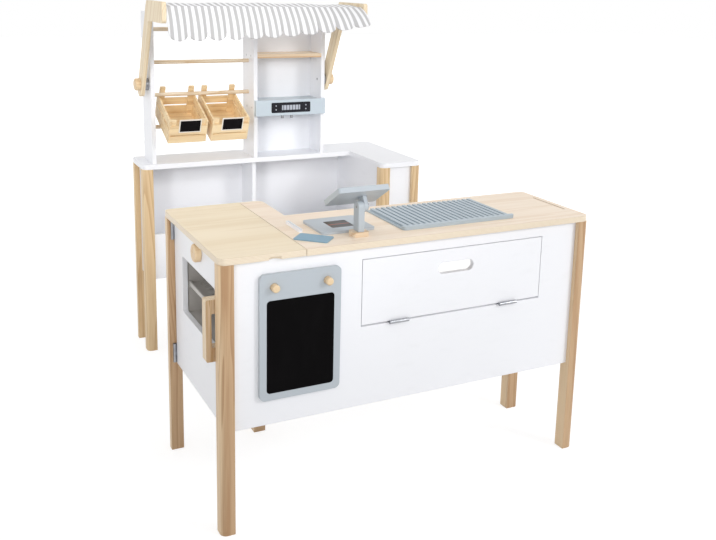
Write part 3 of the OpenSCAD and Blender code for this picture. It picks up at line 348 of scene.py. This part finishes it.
def chalk_black(name):
    """Matt board paint with faint clouds of wiped chalk."""
    made = Finish(name, edge=0.6 * MM, Specular_IOR_Level=0.04)
    net = made.net
    swept = net.noise(net.stretched(made.place, (1, 1, 0.35), (0, 30, 0)), 14.0, detail=5.0, distortion=0.8)
    dust = net.math("MULTIPLY", net.ramp(swept, 0.45, 0.85), 0.3)
    grit = net.noise(made.place, GRIT_SCALE)
    color = net.mix(dust, tone(8, 7, 8), tone(28, 27, 28))
    return made.wire(color, net.math("MULTIPLY_ADD", grit, 0.2, 0.6), grit, bump=0.15)


def gloss_black(name, color, line=None):
    """Dark glossy sheet with faint smears, and a red scan line across it where one is asked for."""
    made = Finish(name, edge=0.5 * MM, Specular_IOR_Level=0.15)
    net = made.net
    smear = net.noise(net.stretched(made.place, (1, 3, 1)), 30.0, detail=4.0, distortion=1.0)
    shown = net.mix(net.math("MULTIPLY", smear, 0.25), tone(*color), tone(62, 62, 68))
    if line is not None:
        near = net.math("ABSOLUTE", net.math("SUBTRACT", net.split(made.place)[1], line))
        shown = net.mix(net.ramp(near, 2.2 * MM, 0.8 * MM), shown, tone(170, 84, 66))
    return made.wire(shown, net.math("MULTIPLY_ADD", smear, 0.2, 0.08), smear, bump=0.03)


def display_black(name, node):
    """Dark glossy display with a pale counting field of bars, and two lamp dots at either side of it."""
    made = Finish(name, edge=0.5 * MM, Specular_IOR_Level=0.2)
    net = made.net
    axes = net.split(net.from_middle(made.place, middle_of(node)))
    far_x, far_z = net.math("ABSOLUTE", axes[0]), net.math("ABSOLUTE", axes[2])
    wide = net.ramp(far_x, (FIELD_HALF_WIDTH + 1) * MM, FIELD_HALF_WIDTH * MM)
    high = net.ramp(far_z, (FIELD_HALF_HEIGHT + 1) * MM, FIELD_HALF_HEIGHT * MM)
    phase = net.math("FRACT", net.math("DIVIDE", axes[0], BAR_PITCH * MM))
    bar = net.ramp(net.math("ABSOLUTE", net.math("SUBTRACT", phase, 0.5)), 0.12, 0.2)
    field = net.math("MULTIPLY", net.math("MULTIPLY", wide, high), net.math("MULTIPLY_ADD", bar, 0.5, 0.25))
    off_x, off_z = net.math("SUBTRACT", far_x, DOT_ACROSS * MM), net.math("SUBTRACT", far_z, DOT_UP * MM)
    apart = net.math("SQRT", net.math("ADD", net.math("POWER", off_x, 2.0), net.math("POWER", off_z, 2.0)))
    lit = net.math("MAXIMUM", field, net.math("MULTIPLY", net.ramp(apart, 2.4 * MM, 1.8 * MM), 0.7))
    smear = net.noise(made.place, 60.0, detail=3.0)
    glass = net.mix(smear, tone(24, 25, 32), tone(36, 37, 44))
    shown = net.mix(lit, glass, tone(206, 212, 224))
    return made.wire(shown, net.math("MULTIPLY_ADD", smear, 0.2, 0.12), smear, bump=0.03)


def steel(name):
    """Bright steel with fine brushing and dull patches."""
    made = Finish(name, edge=0.4 * MM, Metallic=1.0)
    net = made.net
    brushed = net.noise(net.stretched(made.place, (0.05, 1, 1)), BRUSH_SCALE)
    dull = net.noise(made.place, 40.0, detail=3.0)
    color = net.mix(dull, tone(176, 178, 182), tone(140, 142, 148))
    return made.wire(color, net.math("MULTIPLY_ADD", dull, 0.25, 0.22), brushed, bump=0.1)


def label_board(name, node):
    """Black writing surface inside a white border, measured in the label's own sloping plane."""
    made = Finish(name, edge=0.5 * MM, Specular_IOR_Level=0.06)
    net = made.net
    flat = net.stretched(net.from_middle(made.place, middle_of(node)), (1, 1, 1), (-CRATE_TILT, 0, 0))
    axes = net.split(flat)
    across = net.math("SUBTRACT", net.math("ABSOLUTE", axes[0]), LABEL_HALF[0] * MM)
    upright = net.math("SUBTRACT", net.math("ABSOLUTE", axes[2]), LABEL_HALF[1] * MM)
    rim = net.ramp(net.math("MAXIMUM", across, upright), -0.2 * MM, 0.2 * MM)
    dust = net.noise(made.place, 60.0, detail=4.0, distortion=0.5)
    slate = net.mix(net.math("MULTIPLY", dust, 0.16), tone(13, 10, 12), tone(40, 38, 40))
    grit = net.noise(made.place, GRIT_SCALE)
    color = net.mix(rim, slate, tone(240, 232, 222))
    return made.wire(color, net.math("MULTIPLY_ADD", grit, 0.2, 0.5), grit, bump=0.1)


def canopy_stripes(name, pitch):
    """Woven cotton with printed stripes along the cloth's own length, read from its UV map in metres."""
    made = Finish(name, edge=0.3 * MM, Sheen_Weight=0.15, Sheen_Roughness=0.5)
    net = made.net
    lie = net.add("UVMap", uv_map="cloth").outputs[0]
    axes = net.split(lie)
    phase = net.math("FRACT", net.math("DIVIDE", axes[0], pitch))
    stripe = net.ramp(net.math("ABSOLUTE", net.math("SUBTRACT", phase, 0.5)), 0.27, 0.23)
    thread = FULL_TURN / THREAD_PITCH
    warp = net.math("SINE", net.math("MULTIPLY", axes[0], thread))
    weft = net.math("SINE", net.math("MULTIPLY", axes[1], thread))
    weave = net.math("MULTIPLY", warp, weft)
    slub = net.noise(net.stretched(lie, (1, 0.12, 1)), 700.0)
    shade = net.math("MULTIPLY_ADD", net.math("SUBTRACT", slub, 0.5), 0.35, net.math("MULTIPLY", weave, 0.05))
    color = net.mix(stripe, tone(245, 245, 247), tone(190, 189, 190))
    color = net.mix(net.math("ADD", shade, 0.1, clamp=True), color, tone(170, 170, 174))
    return made.wire(color, net.math("MULTIPLY_ADD", slub, 0.1, 0.82), weave, bump=0.25, depth=0.25 * MM)


def make_camera():
    """The photograph's camera: its axes from yaw, pitch and roll, and its frame lowered by a shift."""
    yaw, pitch, roll = (math.radians(angle) for angle in (CAMERA_YAW, CAMERA_PITCH, CAMERA_ROLL))
    ahead = Vector((math.sin(yaw) * math.cos(pitch), math.cos(yaw) * math.cos(pitch), -math.sin(pitch)))
    right = Vector((math.cos(yaw), -math.sin(yaw), 0.0))
    up = right.cross(ahead)
    axes = (math.cos(roll) * right + math.sin(roll) * up, math.cos(roll) * up - math.sin(roll) * right, -ahead)
    data = bpy.data.cameras.new("camera")
    data.sensor_fit = "HORIZONTAL"
    data.sensor_width = SENSOR_WIDTH
    data.lens = CAMERA_FOCAL / PHOTO_WIDTH * SENSOR_WIDTH
    data.shift_y = -CAMERA_DROP / PHOTO_WIDTH
    made = bpy.data.objects.new("camera", data)
    made.matrix_world = Matrix.Translation(CAMERA_PLACE) @ Matrix(axes).transposed().to_4x4()
    bpy.context.scene.collection.objects.link(made)
    bpy.context.scene.camera = made


def seen_directly(net):
    """1 for rays from the camera, a mirror or glass, and 0 for the light that falls on the object."""
    rays = net.add("LightPath").outputs
    mirrored = net.math("MAXIMUM", rays["Is Glossy Ray"], rays["Is Transmission Ray"])
    return net.math("MAXIMUM", rays["Is Camera Ray"], mirrored)


def make_surround():
    """A sky that is white to the camera and lights the object more softly."""
    world = bpy.data.worlds.new("studio")
    bpy.context.scene.world = world
    world.use_nodes = True
    net = Net(world.node_tree)
    back = world.node_tree.nodes["Background"]
    back.inputs["Color"].default_value = (1, 1, 1, 1)
    strength = net.math("MULTIPLY_ADD", seen_directly(net), 1.0 - SKY_STRENGTH, SKY_STRENGTH)
    net.feed(back.inputs["Strength"], strength)


def pale_floor(name):
    """A plain pale floor to the lamps, and to the camera a white one that still catches the object's shadow."""
    material = bpy.data.materials.new(name)
    material.use_nodes = True
    net = Net(material.node_tree)
    net.tree.nodes.clear()
    plain = net.add("BsdfDiffuse", {"Color": (FLOOR_TONE, FLOOR_TONE, FLOOR_TONE, 1)}).outputs[0]
    catch = net.add("BsdfDiffuse", {"Color": (FLOOR_CATCH, FLOOR_CATCH, FLOOR_CATCH, 1)}).outputs[0]
    place = net.add("TexCoord").outputs["Object"]
    away = net.add("VectorMath", {0: place}, operation="LENGTH").outputs["Value"]
    bright = net.math("MULTIPLY_ADD", net.ramp(away, *FLOOR_FADE), 1.0 - FLOOR_GLOW, FLOOR_GLOW)
    glow = net.add("Emission", {"Strength": bright}).outputs[0]
    shown = net.add("AddShader", {0: catch, 1: glow}).outputs[0]
    both = net.add("MixShader", {0: seen_directly(net), 1: plain, 2: shown}).outputs[0]
    net.add("OutputMaterial", {"Surface": both})
    return material


def make_floor():
    """One large square under the object."""
    half = FLOOR_SIZE / 2
    mesh = bpy.data.meshes.new("floor")
    mesh.from_pydata([(-half, -half, 0), (half, -half, 0), (half, half, 0), (-half, half, 0)], [], [(0, 1, 2, 3)])
    mesh.materials.append(pale_floor("pale_floor"))
    floor = bpy.data.objects.new("floor", mesh)
    bpy.context.scene.collection.objects.link(floor)


def aimed_lamp(name, kind, place, aim, power):
    """A lamp that looks from its place at a point."""
    data = bpy.data.lights.new(name, kind)
    data.energy = power
    lamp = bpy.data.objects.new(name, data)
    lamp.visible_camera = False
    lamp.location = place
    lamp.rotation_euler = (Vector(aim) - Vector(place)).to_track_quat("-Z", "Y").to_euler()
    bpy.context.scene.collection.objects.link(lamp)
    return data


def make_lamps():
    """Large square lamps on the counter, and soft spots on what stands behind it."""
    for name, lamp in AREA_LAMPS.items():
        aimed_lamp(name, "AREA", lamp["place"], COUNTER_MIDDLE, lamp["power"]).size = lamp["size"]
    for name, lamp in SPOT_LAMPS.items():
        data = aimed_lamp(name, "SPOT", lamp["place"], lamp["aim"], lamp["power"])
        data.spot_size = math.radians(lamp["angle"])
        data.spot_blend = SPOT_BLEND
        data.shadow_soft_size = SPOT_SOFTNESS


def dress(material, *names):
    """Gives CAD nodes a finish."""
    for name in names:
        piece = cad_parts[name]
        if not piece.material_slots:
            piece.data.materials.append(material)
        for part in piece.material_slots:
            part.material = material


def dress_wood():
    """Legs, rods, shelf, knobs, handle, arms, tops and crates. The colours are the pale and the dark wood."""
    # The front number of a finish is painted shade on its faces turned towards -Y.
    dress(wood("pine_upright", (228, 200, 162), (178, 140, 102), "z", contrast=0.6, front=0.62), "counter_legs")
    # Painted light: the stall legs take a paler copy of the upright pine, with less painted shade on the front, for
    # the brighter light on them.
    dress(wood("pine_stall_leg", (234, 208, 166), (188, 148, 102), "z", contrast=0.6, front=0.25), "stall_legs")
    dress(wood("pine_rod", (238, 222, 198), (206, 176, 136), "x", figure=30.0), "stall_rods", "canopy_rods")
    dress(wood("pine_shelf", (240, 222, 196), (206, 168, 126), "x", front=0.3), "niche_shelf", "monitor_foot")
    dress(wood("beech_knob", (232, 206, 168), (200, 160, 116), "x", figure=40.0, rings=5.0, contrast=0.55),
          "chalkboard_pegs", "oven_knob", "canopy_knob_left", "canopy_knob_right")
    dress(wood("ply_handle", (240, 222, 192), (186, 148, 104), "z", figure=60.0, rings=6.0, contrast=0.6, front=0.5),
          "oven_handle")
    dress(wood("pine_arm", (240, 224, 194), (208, 178, 136), "lean", contrast=0.55), "canopy_arms")
    dress(wood("ply_lid", (244, 229, 202), (222, 198, 158), "x", figure=26.0, rings=3.0, contrast=0.45, ply=True),
          "lid")
    dress(wood("ply_top", (247, 231, 212), (224, 196, 164), "x", figure=30.0, rings=3.0, contrast=0.5, ply=True),
          "main_top")
    dress(wood("crate_pine", (246, 222, 180), (210, 170, 116), "x", figure=22.0, rings=6.0, contrast=0.7),
          "crate_left", "crate_right")


def dress_paint():
    """Painted boards, the oven's inside and the card. The colours are the paint and its worn tone."""
    dress(paint("white_board", (244, 245, 249), (232, 233, 236)),
          "front_panel", "right_panel", "block_panels", "block_divider", "counter_floors", "flap_door",
          "oven_door", "card_slot", "stall_top", "stall_back_panel", "stall_side_panels", "extension_panels",
          "bin_front", "bin_divider", "bin_floor", "left_upright", "middle_upright", "right_upright", "niche_back")
    dress(paint("grey_board", (183, 191, 198), (200, 207, 213)),
          "chalkboard_frame", "scanner_plate", "monitor_post", "monitor_plate")
    dress(paint("oven_grey", (190, 186, 181), (206, 203, 198)), "oven_liner", "oven_rack")
    dress(paint("pale_grey_board", (194, 206, 215), (208, 218, 225)), "dispenser")
    dress(paint("belt_grey", (176, 189, 198), (196, 206, 213)), "conveyor_tray", "conveyor_ridges")
    dress(paint("card_blue", (126, 164, 186), (168, 198, 212)), "bank_card")


def dress_dark_and_steel():
    """Writing surfaces, screens, glass and metal."""
    dress(chalk_black("chalk_black"), "chalkboard")
    dress(gloss_black("screen_black", (28, 28, 32)), "monitor_screen")
    dress(display_black("display_black", "dispenser_display"), "dispenser_display")
    dress(gloss_black("scan_glass", (38, 31, 31), line=middle_of("scanner_window")[1]), "scanner_window")
    dress(steel("steel"), "lid_hinge_leaves", "flap_hinge_leaves", "oven_hinge_leaves", "hinge_barrels",
          "monitor_bolt", "dispenser_spouts", "canopy_pivots")
    dress(label_board("label_left", "crate_left_label"), "crate_left_label")
    dress(label_board("label_right", "crate_right_label"), "crate_right_label")


def mesh_piece(name, points, faces, material, body, uv=None):
    """A new piece from arrays of points and faces, with its material and a UV map if one is given, riding on a body.
    """
    mesh = bpy.data.meshes.new(name)
    mesh.from_pydata(points.reshape(-1, 3).tolist(), [], faces.tolist())
    mesh.materials.append(material)
    mesh.polygons.foreach_set("use_smooth", np.full(len(mesh.polygons), True))
    if uv is not None:
        corners = np.empty(len(mesh.loops), dtype=np.int32)
        mesh.loops.foreach_get("vertex_index", corners)
        layer = mesh.uv_layers.new(name=uv[0])
        layer.data.foreach_set("uv", uv[1].reshape(-1, 2)[corners].ravel())
    mesh.update()
    made = bpy.data.objects.new(name, mesh)
    bpy.context.scene.collection.objects.link(made)
    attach(made, body)
    return made


def grid_faces(rows, columns):
    """Quads between the neighbouring points of a grid."""
    at = np.arange(rows * columns).reshape(rows, columns)
    quads = np.stack([at[:-1, :-1], at[:-1, 1:], at[1:, 1:], at[1:, :-1]], axis=-1)
    return quads.reshape(-1, 4)


def cloth_run(share, front_y, rear_y, rod_z):
    """Depth and height of the cloth's points, down its length and across it by share. A point runs along the tail,
    a quarter turn round the rear rod, a span that stands up a little by a squared sine, and a turn round the front
    rod that ends at the valance's own lean, which grows with the square of the share. The valance then hangs
    straight with a sine's belly, its length follows a row of half circles, and it waves in step with them."""
    ones = np.ones(len(share))
    fall = CLOTH_TAIL * np.linspace(1, 0.2, TAIL_POINTS)[:, None]
    tail = np.stack([(rear_y + WRAP_RADIUS) * np.ones((TAIL_POINTS, len(share))), rod_z - fall * ones], axis=-1)
    turn = np.radians(np.linspace(0, 90, WRAP_POINTS))[:, None]
    rear = np.stack([rear_y + WRAP_RADIUS * np.cos(turn) * ones, rod_z + WRAP_RADIUS * np.sin(turn) * ones], axis=-1)

    step = np.linspace(0, 1, SPAN_POINTS)[1:-1, None]
    puff = CLOTH_RISE * (RISE_ENDS + RISE_MIDDLE * np.sin(np.pi * share)) + RIPPLE * np.sin(RIPPLES * np.pi * share)
    rise = np.sin(np.pi * step) ** 2 * puff
    span = np.stack([(rear_y + (front_y - rear_y) * step) * ones, rod_z + WRAP_RADIUS + rise], axis=-1)

    lean = np.radians(VALANCE_LEAN + VALANCE_TWIST * share ** 2)
    wrap = np.pi / 2 + np.linspace(0, 1, WRAP_POINTS)[:, None] * (np.pi / 2 - lean)
    front = np.stack([front_y + WRAP_RADIUS * np.cos(wrap), rod_z + WRAP_RADIUS * np.sin(wrap)], axis=-1)

    local = share * SCALLOPS - np.floor(np.minimum(share * SCALLOPS, SCALLOPS - 1e-9))
    drop = VALANCE - SCALLOP_DEPTH * (1 - np.sqrt(1 - (2 * local - 1) ** 2))
    down = np.linspace(0, 1, HANG_POINTS)[1:, None]
    out = WRAP_RADIUS - down * WAVE * np.cos(2 * np.pi * share * SCALLOPS) + VALANCE_BELLY * np.sin(np.pi * down)
    hang = np.stack([front_y - out * np.cos(lean) - down * drop * np.sin(lean),
                     rod_z + out * np.sin(lean) - down * drop * np.cos(lean)], axis=-1)
    return np.concatenate([tail, rear, span, front, hang])


def canopy_cloth():
    """One striped sheet over both rods, with a UV map of its flat width and length."""
    share = np.linspace(0.0, 1.0, SCALLOPS * SCALLOP_POINTS + 1)
    low, high = (np.array(corner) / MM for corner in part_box("canopy_cloth"))
    rod_low, rod_high = (np.array(corner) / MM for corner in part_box("canopy_rods"))
    across = low[0] + (high[0] - low[0]) * share
    run = cloth_run(share, rod_low[1] + ROD_RADIUS, rod_high[1] - ROD_RADIUS, rod_low[2] + ROD_RADIUS)
    points = np.concatenate([np.broadcast_to(across[None, :, None], run.shape[:2] + (1,)), run], axis=-1) * MM
    steps = np.linalg.norm(np.diff(run, axis=0), axis=-1)
    lengths = np.concatenate([np.zeros((1, len(share))), np.cumsum(steps, axis=0)])
    width = (across[-1] - across[0]) * MM
    uv = np.stack([points[..., 0] - points[0, 0, 0], lengths * MM], axis=-1)
    material = canopy_stripes("canopy_cotton", width / STRIPES)
    faces = grid_faces(*run.shape[:2])
    made = mesh_piece("canopy_sheet", points, faces, material, "canopy", uv=("cloth", uv))
    thick = made.modifiers.new("thickness", "SOLIDIFY")
    thick.thickness = CLOTH_THICKNESS * MM
    thick.offset = 0.0
    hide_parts("canopy_cloth")


def turned(profile, axis, middles):
    """Surfaces of revolution: each profile point of radius and height swept round a level axis, at each middle."""
    along = np.array(axis, dtype=float)
    first = np.cross(along, [0.0, 0.0, 1.0])
    second = np.cross(along, first)
    angle = np.linspace(0, 2 * np.pi, SCREW_SIDES, endpoint=False)
    spoke = np.cos(angle)[:, None] * first + np.sin(angle)[:, None] * second
    radius, height = (np.array(values, dtype=float) for values in zip(*profile))
    one = radius[:, None, None] * spoke[None] + (height[:, None] * along)[:, None, :]
    points = np.array(middles)[:, None, None, :] + one[None]
    at = np.arange(len(radius) * SCREW_SIDES).reshape(len(radius), SCREW_SIDES)
    after = np.roll(at, -1, axis=1)
    quads = np.stack([at[:-1], after[:-1], after[1:], at[1:]], axis=-1).reshape(-1, 4)
    shifts = (np.arange(len(points)) * at.size)[:, None, None]
    return points, (quads[None] + shifts).reshape(-1, 4)


def close_poles(mesh):
    """Merges the tiny rings where a turned surface meets its axis."""
    merged = bmesh.new()
    merged.from_mesh(mesh)
    bmesh.ops.remove_doubles(merged, verts=merged.verts, dist=POLE_WIDTH * MM)
    merged.to_mesh(mesh)
    merged.free()


def upright_screws(material):
    """Screw heads on the outer faces of the niche's uprights, where its shelf and the dispenser are held."""
    profile = [(radius * MM, height * MM) for radius, height in SCREW_HEAD]
    for node, side, axis in (("middle_upright", 0, (-1, 0, 0)), ("right_upright", 1, (1, 0, 0))):
        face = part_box(node)[side][0]
        places = []
        for held in ("niche_shelf", "dispenser"):
            low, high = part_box(held)
            depths = [low[1] + share * (high[1] - low[1]) for share in SCREW_DEPTHS]
            places += [(face, depth, (low[2] + high[2]) / 2) for depth in depths]
        points, faces = turned(profile, axis, places)
        heads = mesh_piece(node + "_screws", points, faces, material, "frame")
        close_poles(heads.data)


make_camera()
make_surround()
make_floor()
make_lamps()
dress_wood()
dress_paint()
dress_dark_and_steel()
canopy_cloth()
upright_screws(bpy.data.materials["steel"])

bpy.context.scene.view_settings.view_transform = "Standard"
